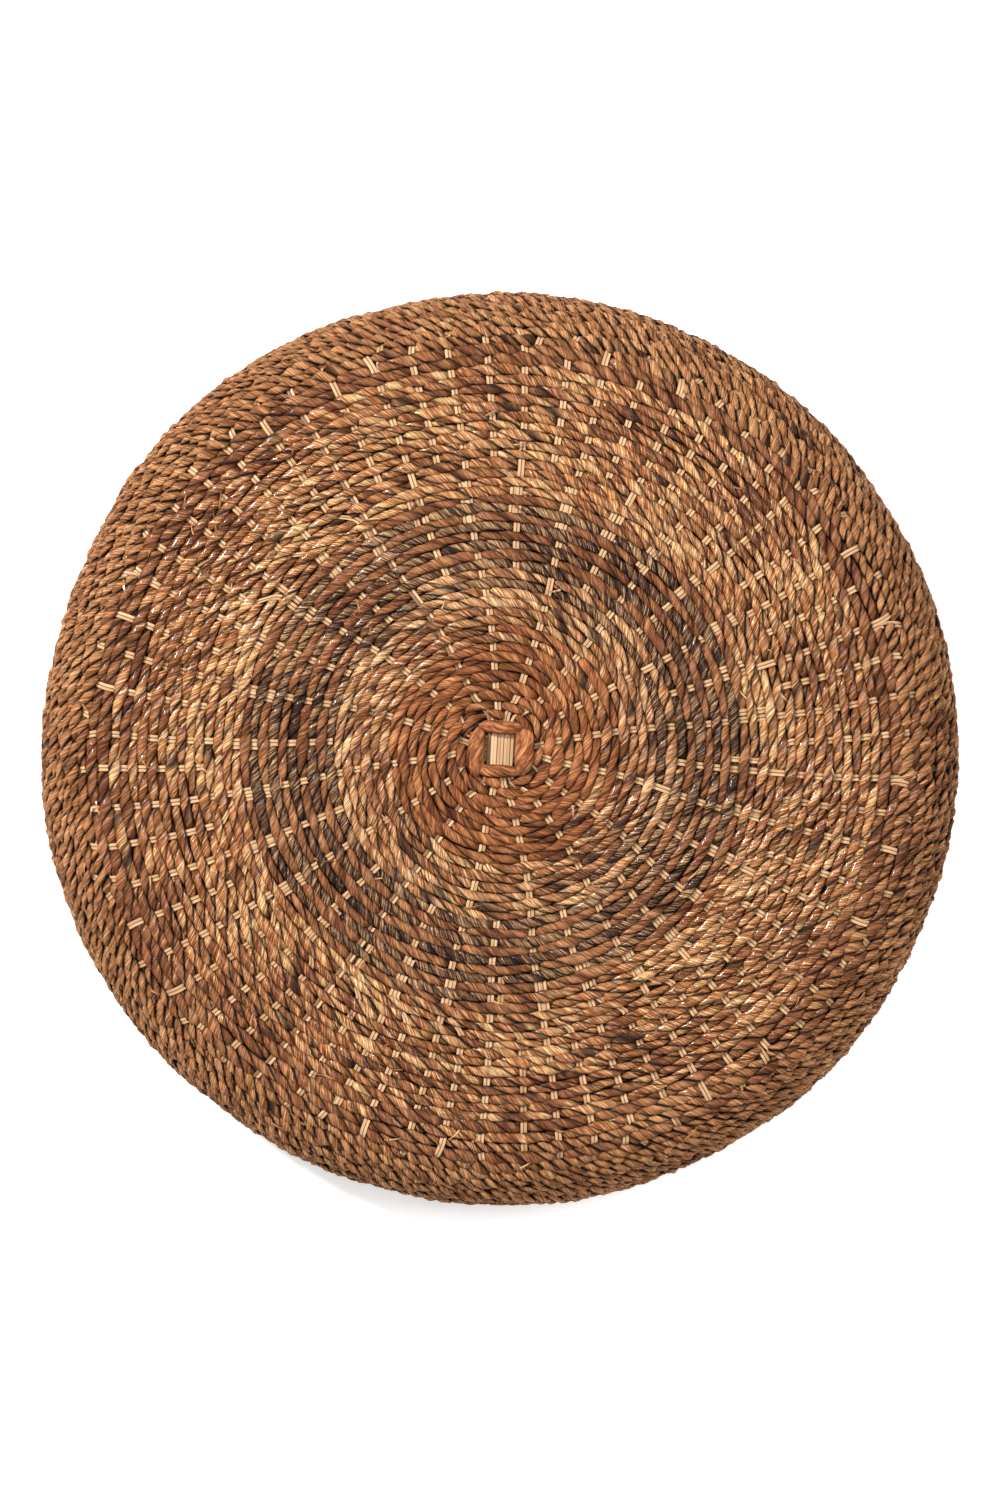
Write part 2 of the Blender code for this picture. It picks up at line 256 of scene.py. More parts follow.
class Shell:
    # the face, the shoulder and the side as one outline, from the centre outwards
    outward = 1.0
    startDegrees = 40.0

    def __init__(self):
        self.radius = ringRadius("side_weave") * math.cos(math.pi / shell["facets"])
        self.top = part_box("filling_pad")[1].z + shell["thickness"]
        self.bend = shell["shoulderRadius"]
        flat = self.radius - self.bend
        self.slope = 2 * math.atan(shell["crownHeight"] / flat)
        self.crown = flat / math.sin(self.slope) + self.bend
        self.top = max(self.top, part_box("face_lashing")[1].z)
        self.crownZ = self.top - self.crown
        self.bendZ = self.crownZ + (self.crown - self.bend) * math.cos(self.slope)
        self.edge = self.bendZ - shell["sideHeight"]
        self.flatEnd = self.crown * self.slope
        self.bendEnd = self.flatEnd + self.bend * (math.pi / 2 - self.slope)
        self.sideEnd = self.bendEnd + shell["sideHeight"]
        self.end = self.sideEnd + self.edge * math.pi / 2

    def place(self, along, depth):
        # radius, height and tilt from upright of a point under the outline
        along = np.asarray(along, float)
        crown = along / self.crown
        bend = self.slope + (along - self.flatEnd) / self.bend
        edge = (along - self.sideEnd) / self.edge
        zones = [along <= self.flatEnd, along <= self.bendEnd, along <= self.sideEnd]
        upright = np.full_like(along, math.pi / 2)
        tilt = np.select(zones, [crown, bend, upright], upright + edge)
        rims = [
            self.crown * np.sin(crown),
            self.radius - self.bend + self.bend * np.sin(bend),
            np.full_like(along, self.radius),
        ]
        radius = np.select(zones, rims, self.radius - self.edge + self.edge * np.cos(edge))
        tops = [
            self.crownZ + self.crown * np.cos(crown),
            self.bendZ + self.bend * np.cos(bend),
            self.bendZ - (along - self.bendEnd),
        ]
        height = np.select(zones, tops, self.edge * (1 - np.sin(edge)))
        return radius - depth * np.sin(tilt), height - depth * np.cos(tilt), tilt

    def depthOfRows(self, along):
        low = smooth((along - self.sideEnd) / (self.end - self.sideEnd))
        return rows["middleDepth"] + (rows["lowestDepth"] - rows["middleDepth"]) * low


class Underside:
    # the flat base, from its centre outwards
    outward = -1.0
    startDegrees = 130.0

    def __init__(self):
        self.end = ringRadius("base_weave_outer")
        self.flatEnd = self.end

    def place(self, along, depth):
        along = np.asarray(along, float)
        return along + 0 * depth, 0 * along + depth, np.full_like(along, math.pi)

    def depthOfRows(self, along):
        return np.full_like(np.asarray(along, float), rows["lowestDepth"])


topFace = Shell()
underFace = Underside()


# a hand-made rim isn't a true circle: size, number in a turn and start of its waves
rimWaves = (
    (0.00060, 2, 0.6),
    (0.00032, 3, 2.1),
    (0.00038, 4, 4.0),
    (0.00036, 5, 1.2),
    (0.00042, 6, 5.1),
    (0.00024, 8, 0.3),
    (0.00024, 11, 2.7),
)
# neighbouring rows bend together: size, number in a turn, change outwards and start
rowWaves = (
    (0.00030, 3, 95, 0),
    (0.00024, 5, -140, 1),
    (0.00022, 9, 210, 2),
    (0.00016, 14, -260, 0),
)


def outlineDrift(angle, along):
    swing = sum(size * np.cos(count * angle + start) for size, count, start in rimWaves)
    return swing * smooth((along - shell["driftFrom"]) / shell["driftGrows"])


def rowWander(angle, along):
    sway = 0.0
    for size, count, change, start in rowWaves:
        sway = sway + size * np.sin(count * angle + along * change + start)
    return sway * smooth((along - rows["wanderFrom"]) / rows["wanderGrows"])


def squareOff(angle, along):
    # the first rounds follow the square lashing
    heading = math.radians(armHeading(0))
    fade = 1 - smooth((along - rows["squareFrom"]) / rows["squareFades"])
    return along * (1 - rows["squareness"] * fade * np.cos(4 * (angle - heading)))


def armHeading(bundle):
    # bundle 0 is the upper one, bundle 1 passes under it
    quarter = 0 if bundle else 1
    first = quarter * 4 - stakes["armStartsBefore"]
    return stakes["firstAngle"] + (first + 1.5) * stakes["apart"]


def outFrom(angle):
    # level directions away from the middle
    return np.stack([np.cos(angle), np.sin(angle), 0 * angle], 1)


def aheadAside(heading):
    ahead = np.array([math.cos(heading), math.sin(heading), 0.0])
    return ahead, np.array([-ahead[1], ahead[0], 0.0])


def pointOn(face, angle, along, depth):
    # centre, direction across the rows and outward normal, in metres
    radius, height, tilt = face.place(along, depth)
    radius = radius + (outlineDrift(angle, along) if face is topFace else 0.0)
    cosine = np.cos(angle)
    sine = np.sin(angle)
    centre = np.stack([radius * cosine, radius * sine, height], 1)
    across = face.outward * np.cos(tilt)
    down = -face.outward * np.sin(tilt)
    lateral = np.stack([across * cosine, across * sine, down], 1)
    normal = np.stack([np.sin(tilt) * cosine, np.sin(tilt) * sine, np.cos(tilt)], 1)
    return centre, lateral, normal


# the hand-set fan isn't even: degrees that it leans near the middle and near the rim
fanDrift = {
    "near": -4.0,
    "nearTowards": 100.0,
    "far": -1.8,
    "farTowards": 40.0,
    "changes": 0.05,
    "settles": (0.14, 0.05, 0.6),
    "starts": (0.008, 0.012),
}


def stakeDrift(degrees, along):
    change = smooth((along - fanDrift["changes"]) / fanDrift["changes"])
    near = fanDrift["near"] * np.cos(np.radians(degrees - fanDrift["nearTowards"])) * (1 - change)
    far = fanDrift["far"] * np.cos(np.radians(degrees - fanDrift["farTowards"])) * change
    spot, width, share = fanDrift["settles"]
    settle = 1 - share * smooth((along - spot) / width)
    first, grows = fanDrift["starts"]
    return (near + far) * settle * smooth((along - first) / grows)


def settledTurns(face):
    # kind of stake: first stake, first insert, left and right neighbours, and the last one
    if face is underFace:
        wide = {"stake": 0.0, "insert": 11.25, "left": 5.625, "right": 16.875}
        return wide, wide
    before = {"stake": 0.0, "insert": 11.25, "left": 5.625, "right": 16.875, "last": 11.25}
    after = {"stake": -0.5625, "insert": 12.9375, "left": 3.9375, "right": 17.4375, "last": 8.4375}
    return before, after


def stakeAngle(face, kind, family, along):
    # radians of a stake at each distance from the centre
    along = np.asarray(along, float)
    before, after = settledTurns(face)
    beside = np.degrees(stakes["pairWidth"] / np.maximum(along, 0.01))
    late = smooth((along - face.flatEnd) / stakes["thirdSettles"]) * (face is topFace)
    if kind in ("left", "right"):
        parent = before["stake"] if kind == "left" else before["insert"]
        parting = stakes["secondParting"]
        run = smooth((along - parting) / (stakes["secondSettled"] - parting))
        turn = (parent + beside) * (1 - run) + before[kind] * run
        turn = turn + (after[kind] - before[kind]) * late
    elif kind == "last":
        turn = (before["insert"] - beside) * (1 - late) + after["last"] * late
    elif kind == "insert" and face is underFace:
        run = smooth((along - stakes["baseParting"]) / stakes["baseSettles"])
        turn = beside * (1 - run) + before["insert"] * run
    else:
        turn = before[kind] + (after[kind] - before[kind]) * late
    shake = np.random.default_rng(family * 7 + len(kind) + (50 if face is underFace else 0))
    nudge = shake.uniform(-1, 1) * stakes["jitter"]
    degrees = stakes["firstAngle"] + family * stakes["apart"] + turn
    return np.radians(degrees + stakeDrift(degrees, along) + nudge * smooth((along - 0.015) / 0.03))


def countedStakes(face, along):
    # the kinds that the weavers cross one by one at this distance
    if along < (stakes["firstInsert"] if face is topFace else stakes["baseCounts"]):
        return ["stake"]
    if along < stakes["secondCounts"]:
        return ["stake", "insert"]
    third = topFace.flatEnd + stakes["thirdCounts"]
    if face is topFace and along > third:
        return ["stake", "left", "last", "insert", "right"]
    return ["stake", "left", "insert", "right"]


def pitchAt(along):
    return np.interp(along, rows["pitchesFrom"], rows["pitches"])


def rowTable():
    # distance from the centre for each hundredth of a row
    spots = [rows["start"] + pitchAt(0.0) / 2]
    while spots[-1] < 0.3:
        spots.append(spots[-1] + float(pitchAt(spots[-1])) / 100)
    return np.array(spots)


rowSpots = rowTable()


def distanceAt(angle, startAngle, weaver):
    # two weavers, half a turn apart, each moving out by two rows in a turn
    row = (angle - startAngle) / math.pi - weaver
    tail = np.minimum(row, 0) * rows["tailSlope"]
    return np.interp(row * 100, np.arange(len(rowSpots)), rowSpots) + tail


def crossingsOf(face, weaver):
    # every place where a weaver meets a stake: angle, over or under, distance, half width, stake
    startAngle = math.radians(face.startDegrees)
    last = face.end - float(pitchAt(face.end)) * rows["endsBefore"]
    tables = {}
    met = []
    angle = startAngle + weaver * math.pi
    while True:
        along = float(distanceAt(angle, startAngle, weaver))
        if along > last:
            break
        kinds = countedStakes(face, along)
        turns = np.zeros(stakes["families"] * len(kinds))
        for place, kind in enumerate(kinds):
            key = (kind, round(along * 2000))
            if key not in tables:
                spots = [float(stakeAngle(face, kind, f, along)) for f in range(stakes["families"])]
                tables[key] = np.array(spots)
            turns[place::len(kinds)] = tables[key]
        ahead = (turns - angle - 1e-3) % (2 * math.pi) + 1e-3
        chosen = int(np.argmin(ahead))
        angle += float(ahead[chosen])
        kind = kinds[chosen % len(kinds)]
        family = chosen // len(kinds)
        double = kind in ("stake", "insert") and stakes["secondInsert"] < along < stakes["secondCounts"]
        half = stakes["pairWidth"] * (1.0 if double else 0.5)
        middle = angle + (stakes["pairWidth"] / 2 / along if double else 0.0)
        sign = 1.0 if (chosen + weaver) % 2 == 0 else -1.0
        met.append((middle, sign, along, half, kind, family))
    return startAngle, last, met


def routeOf(face, weaver):
    # a weaver's whole spiral, as evenly spaced samples
    startAngle, last, met = crossingsOf(face, weaver)
    lastRow = float(np.interp(last, rowSpots, np.arange(len(rowSpots)))) / 100
    begin = startAngle + weaver * math.pi - rows["tail"]
    fine = np.arange(begin, startAngle + (lastRow + weaver) * math.pi, math.radians(0.2))
    along = distanceAt(fine, startAngle, weaver)
    radius = face.place(along, face.depthOfRows(along))[0]
    length = np.concatenate([[0], np.cumsum(np.diff(fine) * (radius[1:] + radius[:-1]) / 2)])
    step = rows["step"] if face is topFace else rows["baseStep"]
    travelled = np.arange(0, length[-1], step)
    angle = np.interp(travelled, length, fine)
    along = np.interp(travelled, length, along)
    radius = np.interp(travelled, length, radius)
    angles = np.array([m[0] for m in met])
    signs = np.array([m[1] for m in met])
    halves = np.array([m[3] for m in met])
    chance = np.random.default_rng(61 + weaver + (5 if face is underFace else 0))
    bites = chance.uniform(*rows["bites"], len(met))
    near = np.searchsorted(angles, angle)
    over = np.zeros_like(angle)
    under = np.zeros_like(angle)
    for offset in (-2, -1, 0, 1):
        pick = np.clip(near + offset, 0, len(angles) - 1)
        gap = np.abs(angle - angles[pick]) * radius
        bump = np.exp(-((gap / (halves[pick] + rows["overReach"])) ** 2))
        dip = np.exp(-((gap / (halves[pick] * bites[pick] + rows["underReach"])) ** 4))
        over = np.maximum(over, bump * (signs[pick] > 0))
        under = np.maximum(under, dip * (signs[pick] < 0))
    over = over * (1 - under)
    return {
        "angle": angle,
        "along": along,
        "length": travelled,
        "over": over,
        "under": under,
        "met": met,
        "weaver": weaver,
        "face": face,
    }


print("following the weavers round the stakes")
faceRoutes = [routeOf(topFace, w) for w in (0, 1)]
baseRoutes = [routeOf(underFace, w) for w in (0, 1)]

# one turn of a folded leaf: share of the strand's width, and height over the cord's middle
leafFold = {
    "stops": (0.0, 0.08, 0.21, 0.40, 0.61, 0.80, 0.92),
    "heights": (0.68, 0.91, 1.05, 1.12, 1.09, 1.01, 0.93),
}
coarseFold = {
    "stops": (0.0, 0.10, 0.35, 0.65, 0.90),
    "heights": (0.80, 0.95, 1.06, 1.04, 0.97),
}
# how a cord changes along its length: seed, spacing of the changes, size
leafHabits = {
    "looseTwist": (11, 0.045, 0.16),
    "quickTwist": (12, 0.013, 0.05),
    "creaseDepth": (13, 0.020, 0.45),
    "thickness": (14, 0.022, 1.0),
    "ridge": (100, None, 1.0),
    "swell": (200, 0.016, 0.09),
    "slowTone": (300, 0.11, 0.55),
    "quickTone": (320, 0.017, 0.675),
    "streak": (340, 0.018, 0.40),
    "splice": (360, 1.0, 0.5),
    "longBurn": (380, 0.075, 0.75),
    "shortBurn": (400, 0.016, 0.35),
    "burntFold": (420, 0.13, 0.5),
}
cordShape = {
    "wideRoundness": 0.86,
    "highRoundness": 0.90,
    "taperedSamples": 5,
    "taperedTo": 0.45,
    "spliceLength": 0.21,
    "burntFolds": 2.1,
    "burnEdge": 0.12,
    "grooveFrom": 1.02,
    "grooveDepth": 0.24,
    "flankFrom": 0.60,
    "flankDepth": 0.74,
}


def cordMesh(name, path, cord, seed, fold=leafFold):
    # a twisted leaf cord: two strands of folded leaf that wind round each other
    def habit(kind, number=0, places=None, spacing=None):
        own, usual, size = leafHabits[kind]
        along = length if places is None else places
        return waver(along, seed + own + number, spacing or usual) * size

    centre = path["centre"]
    across = path["across"]
    normal = path["normal"]
    length = path["length"]
    count = len(length)
    heading = np.gradient(centre, axis=0)
    turning = np.einsum("ij,ij->i", np.cross(across, normal), heading)
    hand = 1.0 if turning.mean() > 0 else -1.0
    strands = cord["strands"]
    folds = len(fold["stops"])
    stops = np.array([(s + stop) / strands for s in range(strands) for stop in fold["stops"]])
    heights = np.array(fold["heights"] * strands)
    columns = len(stops)
    loose = habit("looseTwist") + habit("quickTwist")
    twist = hand * 2 * math.pi * (length / cord["pitch"] + loose)
    depth = 1 + habit("creaseDepth")
    profile = np.zeros((count, columns))
    tone = np.zeros((count, columns))
    stain = np.zeros((count, columns))
    for column in range(columns):
        strand = column // folds
        ridge = habit("ridge", column, spacing=cord["wrinkle"]) * cord["ridge"]
        crease = (heights[column] - 1) * cord["crease"]
        crease = np.where(crease < 0, crease * depth, crease)
        profile[:, column] = 1 + crease + ridge + habit("swell", strand)
        batch = np.floor(length / cordShape["spliceLength"] + strand * 0.4)
        mixed = habit("slowTone", strand) + habit("quickTone", strand) + habit("splice", strand, batch)
        tone[:, column] = mixed * cord["variety"] + habit("streak", column)
        dark = habit("longBurn", strand) + habit("shortBurn", strand)
        spine = (0.5 + habit("burntFold", strand)) * folds
        slender = np.exp(-(((column % folds - spine) / cordShape["burntFolds"]) ** 2))
        stain[:, column] = smooth((dark - cord["blackFrom"]) / cordShape["burnEdge"]) * slender
    turn = 2 * math.pi * stops[None, :] + twist[:, None]
    wide = np.cos(turn)
    high = np.sin(turn)
    wide = np.sign(wide) * np.abs(wide) ** cordShape["wideRoundness"]
    high = np.sign(high) * np.abs(high) ** cordShape["highRoundness"]
    thick = 1 + cord["uneven"] * habit("thickness")
    fromEnd = np.minimum(np.arange(count), np.arange(count)[::-1]) / cordShape["taperedSamples"]
    taper = cordShape["taperedTo"] + (1 - cordShape["taperedTo"]) * np.minimum(fromEnd, 1)
    spanWide = (path["halfWidth"] * thick * taper)[:, None] * profile * wide
    spanHigh = (path["halfHeight"] * thick * taper)[:, None] * profile * high
    points = centre[:, None, :] + across[:, None, :] * spanWide[:, :, None]
    points = points + normal[:, None, :] * spanHigh[:, :, None]
    vertices = np.concatenate([points.reshape(-1, 3), centre[:1], centre[-1:]])
    ring = np.arange(columns)
    following = (ring + 1) % columns
    steps = np.arange(count - 1)[:, None] * columns
    quads = [steps + ring, steps + following, steps + columns + following, steps + columns + ring]
    quads = np.stack(quads, 2).reshape(-1, 4)
    firstCap = np.stack([np.full(columns, count * columns), following, ring], 1)
    lastRow = (count - 1) * columns
    lastCap = np.stack([np.full(columns, count * columns + 1), lastRow + ring, lastRow + following], 1)
    if hand < 0:
        quads = quads[:, ::-1]
        firstCap = firstCap[:, ::-1]
        lastCap = lastCap[:, ::-1]
    mesh = bpy.data.meshes.new(name)
    mesh.vertices.add(len(vertices))
    mesh.vertices.foreach_set("co", vertices.astype(np.float32).ravel())
    corners = np.concatenate([quads.ravel(), firstCap.ravel(), lastCap.ravel()])
    mesh.loops.add(len(corners))
    mesh.loops.foreach_set("vertex_index", corners.astype(np.int32))
    sizes = np.concatenate([np.full(len(quads), 4), np.full(2 * columns, 3)])
    starts = np.concatenate([[0], np.cumsum(sizes)[:-1]])
    mesh.polygons.add(len(sizes))
    mesh.polygons.foreach_set("loop_start", starts.astype(np.int32))
    mesh.polygons.foreach_set("use_smooth", np.ones(len(sizes), bool))
    mesh.update(calc_edges=True)
    mesh.validate()
    # the leaf's own fibres wind more steeply than the strands do
    flat = np.tile(2 * math.pi * stops, (count, 1))
    steep = flat - cord["steepness"] * twist[:, None]
    onward = np.tile(length[:, None], (1, columns))
    lay = np.stack([np.cos(flat), np.sin(flat), onward], 2)
    fibres = np.stack([np.cos(steep), np.sin(steep), onward], 2)
    # how deep a point lies between the strands, and how far down the cord's sides; the leaf finish
    # paints shade from both
    groove = np.clip((cordShape["grooveFrom"] - profile) / cordShape["grooveDepth"], 0, 1)
    flank = smooth((cordShape["flankFrom"] - high) / cordShape["flankDepth"])
    addValues(mesh, True, {
        "lay": lay.reshape(-1, 3),
        "fibres": fibres.reshape(-1, 3),
        "tone": tone.ravel() + np.repeat(path["tone"], columns),
        "stain": stain.ravel(),
        "groove": groove.ravel(),
        "flank": flank.ravel(),
    })
    layMap(mesh, count, columns, length)
    return link(name, mesh)


def addValues(mesh, closed, layers):
    # values for each point; the points that close a cord's ends take the nearest ones
    for name, values in layers.items():
        values = np.asarray(values, np.float32)
        many = values.ndim == 2
        if closed:
            values = np.concatenate([values, values[:1], values[-1:]])
        layer = mesh.attributes.new(name, "FLOAT_VECTOR" if many else "FLOAT", "POINT")
        layer.data.foreach_set("vector" if many else "value", values.ravel())


def layMap(mesh, count, columns, length):
    # the cord's skin, cut into strips that lie one above another in a square map
    around = 0.0135  # metres round a cord
    strips = max(1, round(math.sqrt(length[-1] / around)))
    perStrip = math.ceil((count - 1) / strips)
    segment = np.repeat(np.arange(count - 1), columns)
    column = np.tile(np.arange(columns), count - 1)
    strip = segment // perStrip
    left = (segment % perStrip) / perStrip
    right = left + 1 / perStrip
    low = (strip + 0.02 + 0.96 * column / columns) / strips
    high = (strip + 0.02 + 0.96 * (column + 1) / columns) / strips
    spots = [(left, low), (left, high), (right, high), (right, low)]
    corners = np.zeros(len(mesh.loops), np.int32)
    mesh.loops.foreach_get("vertex_index", corners)
    quads = corners[: (count - 1) * columns * 4].reshape(-1, 4)
    ahead = quads // columns > segment[:, None]
    onward = quads % columns != column[:, None]
    picked = np.where(ahead, np.where(onward, 2, 3), np.where(onward, 1, 0))
    table = np.stack([np.stack(spot, 1) for spot in spots], 1)
    flat = np.take_along_axis(table, picked[:, :, None], 1).reshape(-1, 2)
    caps = np.zeros((2 * columns * 3, 2))
    caps[: columns * 3] = table[0, 0]
    caps[columns * 3:] = table[-1, 3]
    layer = mesh.uv_layers.new(name="OFBake")
    layer.uv.foreach_set("vector", np.concatenate([flat, caps]).astype(np.float32).ravel())


# what a cord is like in each ring, from the centre outwards
redCord = {
    "slot": "leaf_red_brown",
    "strands": 2,
    "pitch": 0.027,
    "crease": 0.7,
    "ridge": 0.08,
    "wrinkle": 0.008,
    "uneven": 0.15,
    "variety": 0.42,
    "steepness": 0.9,
    "blackFrom": 1.1,
}


def cordLike(cord, **changes):
    return {**cord, **changes}


paleCord = cordLike(redCord, slot="leaf_pale", pitch=0.021, crease=0.8, variety=0.75, blackFrom=0.58)
reddishCord = cordLike(redCord, slot="leaf_dull", pitch=0.021, blackFrom=0.85)
darkCord = cordLike(paleCord, slot="leaf_dark", pitch=0.016, steepness=0.7, blackFrom=0.70)
darkCord.update(partner=reddishCord)  # the second weaver's cord in that ring
goldenCord = cordLike(redCord, slot="leaf_golden", pitch=0.0205, crease=0.9, ridge=0.10, uneven=0.18)
goldenCord.update(variety=0.72, blackFrom=0.60)
dullCord = cordLike(redCord, slot="leaf_dull", pitch=0.018, crease=1.0, ridge=0.10)
tanCord = cordLike(redCord, slot="leaf_tan", pitch=0.0125, crease=1.7, ridge=0.14, wrinkle=0.006)
tanCord.update(uneven=0.24, variety=0.45, blackFrom=0.72)
faceRings = {
    "face_weave_centre": ("centre_rows", redCord),
    "face_weave_pale": ("pale_rows", paleCord),
    "face_weave_dark": ("dark_rows", darkCord),
    "face_weave_golden": ("golden_rows", goldenCord),
    "face_weave_dull": ("dull_rows", dullCord),
    "shoulder_weave": ("shoulder_rows", tanCord),
    "side_weave": ("side_rows", tanCord),
}
baseRings = {
    "base_weave_centre": ("base_centre_rows", redCord),
    "base_weave_middle": ("base_middle_rows", goldenCord),
    "base_weave_outer": ("base_outer_rows", tanCord),
}


def ringEnds(face):
    # outer end of each ring, as a distance along the outline
    if face is underFace:
        names = ["base_weave_centre", "base_weave_middle"]
        return [ringRadius(n) for n in names] + [face.end + 1]
    names = ["face_weave_centre", "face_weave_pale", "face_weave_dark", "face_weave_golden"]
    ends = [face.crown * math.asin(min(1.0, ringRadius(n) / face.crown)) for n in names]
    ends[2] -= rows["darkEndsEarly"]
    return ends + [ends[-1] + rows["dullWidth"], face.bendEnd, face.end + 1]


# how much lighter or darker the leaf is, as pairs of distance from the centre and tone
ringTones = (
    (0.062, 0.00), (0.078, 0.17), (0.087, 0.15), (0.095, 0.03), (0.106, 0.15),
    (0.115, 0.27), (0.125, 0.27), (0.133, 0.17), (0.143, 0.04), (0.152, -0.03),
    (0.161, -0.17), (0.169, -0.28), (0.172, 0.08), (0.190, 0.08),
)


# broad patches that neighbouring rows share: size, then two waves in x and y with their starts
leafPatches = (
    (0.35, (61, 23, 1), (-17, 71, 2)),
    (0.20, (130, -90, 4), (60, 150, 0)),
)
darkSide = {"tone": -0.30, "towards": 205, "tanShare": 0.5}


def patchTone(angle, along, slot):
    x = along * np.cos(angle)
    y = along * np.sin(angle)
    patch = 0.0
    for size, first, second in leafPatches:
        waves = [np.sin(x * a + y * b + start) for a, b, start in (first, second)]
        patch = patch + size * waves[0] * waves[1]
    if slot == "leaf_dark":
        patch += darkSide["tone"] * np.cos(2 * (angle - math.radians(darkSide["towards"])))
    spots, tones = zip(*ringTones)
    share = darkSide["tanShare"] if slot == "leaf_tan" else 1.0
    return patch * share + np.interp(along, spots, tones)


def joinAngle(met, spot, number, weaver):
    # where a weaver changes cord; the two are never joined in the same place
    shift = rows["joinShift"] + rows["joinSpread"] * math.sin(number * 2.3)
    shift *= 1 if weaver else -1
    nearest = min(met, key=lambda m: abs(m[2] - spot - shift))
    return nearest[0]


def weaveRing(route, number, start, end, piece, cord):
    face = route["face"]
    weaver = route["weaver"]
    met = [m for m in route["met"] if m[1] < 0]
    begin = joinAngle(met, start, number - 1, weaver) if number else -1.0
    finish = joinAngle(met, end, number, weaver) if end < face.end else 1e9
    slack = rows["joinSlack"] / np.maximum(route["along"], 0.01)
    keep = (route["angle"] >= begin - slack) & (route["angle"] <= finish + slack)
    angle, along, over, under, length = (
        route[name][keep] for name in ("angle", "along", "over", "under", "length")
    )
    seed = 1000 * (number + 1) + 400 * weaver + (37 if face is underFace else 0)
    shaky = waver(length, seed + 1, 0.03) * rows["shake"]
    spot = squareOff(angle, along) + rowWander(angle, along) + shaky
    closed = smooth((along - rows["hiddenFrom"]) / (rows["hiddenBy"] - rows["hiddenFrom"]))
    closed = closed * (face is topFace)
    dip = (rows["underDip"] + rows["floatLift"]) * (1 - rows["closedDip"] * closed)
    lift = rows["floatLift"] + rows["overLift"] * over - dip * under
    lift = lift + waver(length, seed + 2, 0.02) * rows["bob"] * (1 - under)
    lift = lift + waver(length, seed + 3, 0.0065) * rows["knobs"] * closed
    pinch = rows["underPinch"] * (1 - closed)
    squash = rows["underSquash"] * (1 - rows["closedSquash"] * closed)
    centre, across, normal = pointOn(face, angle, spot, face.depthOfRows(along) - lift)
    path = {
        "centre": centre,
        "across": across,
        "normal": normal,
        "length": length - length[0],
        "halfWidth": rows["fullness"] * pitchAt(along) + rows["overSpread"] * over - pinch * under,
        "halfHeight": rows["halfHeight"] - rows["overSquash"] * over - squash * under,
        "tone": patchTone(angle, along, cord["slot"]),
    }
    name = piece + ("_second" if weaver else "_first")
    return cordMesh(name, path, cord, seed, leafFold if face is topFace else coarseFold)


class Wire:
    # an output of a finish's node tree; sums written on it add their Math nodes
    def __init__(self, tree, socket=None):
        self.tree = tree
        self.socket = socket

    def node(self, kind, settings=None, sockets=None, output=0):
        made = self.tree.nodes.new(kind)
        for name, value in (settings or {}).items():
            if name == "stops":
                ramp = made.color_ramp.elements
                while len(ramp) < len(value):
                    ramp.new(0.5)
                for element, (spot, colour) in zip(ramp, value):
                    element.position = spot
                    element.color = (*colour, 1.0)
            else:
                setattr(made, name, value)
        for name, value in (sockets or {}).items():
            if isinstance(value, Wire):
                self.tree.links.new(value.socket, made.inputs[name])
            else:
                made.inputs[name].default_value = value
        return Wire(self.tree, made.outputs[output])

    def maths(self, operation, first, second=0.0):
        return self.node("ShaderNodeMath", {"operation": operation}, {0: first, 1: second})

    def read(self, name):
        # a value that the mesh carries; lay and fibres hold a place on the leaf
        output = 1 if name in ("lay", "fibres") else 2
        return self.node("ShaderNodeAttribute", {"attribute_name": name}, {}, output)

    def __add__(self, other):
        return self.maths("ADD", self, other)

    def __mul__(self, other):
        return self.maths("MULTIPLY", self, other)

    def __sub__(self, other):
        return self.maths("SUBTRACT", self, other)

    def __rsub__(self, other):
        return self.maths("SUBTRACT", other, self)

    __radd__ = __add__
    __rmul__ = __mul__

    def held(self):
        # kept between 0 and 1
        return self.node("ShaderNodeClamp", {}, {"Value": self})

    def stretched(self, scale):
        return self.node("ShaderNodeVectorMath", {"operation": "MULTIPLY"}, {0: self, 1: scale})

    def grain(self, scale, detail=2.0, rough=0.5):
        settings = {"noise_dimensions": "3D"}
        sockets = {"Vector": self, "Scale": scale, "Detail": detail, "Roughness": rough}
        return self.node("ShaderNodeTexNoise", settings, sockets)

    def blended(self, first, second):
        # first where this is 0, second where it is 1
        settings = {"data_type": "RGBA", "clamp_factor": True}
        sockets = {0: self, 6: first, 7: second}
        return self.node("ShaderNodeMix", settings, sockets, 2)


def startFinish(name):
    finish = bpy.data.materials.new(name)
    finish.use_nodes = True
    tree = finish.node_tree
    return finish, Wire(tree), tree.nodes["Principled BSDF"]


def plug(wire, shader, name):
    wire.tree.links.new(wire.socket, shader.inputs[name])


def bump(root, shader, height, strength, distance):
    sockets = {"Strength": strength, "Distance": distance, "Height": height}
    plug(root.node("ShaderNodeBump", {}, sockets), shader, "Normal")


def colour4(colour, share=1.0):
    return (*(share * part for part in colour), 1.0)
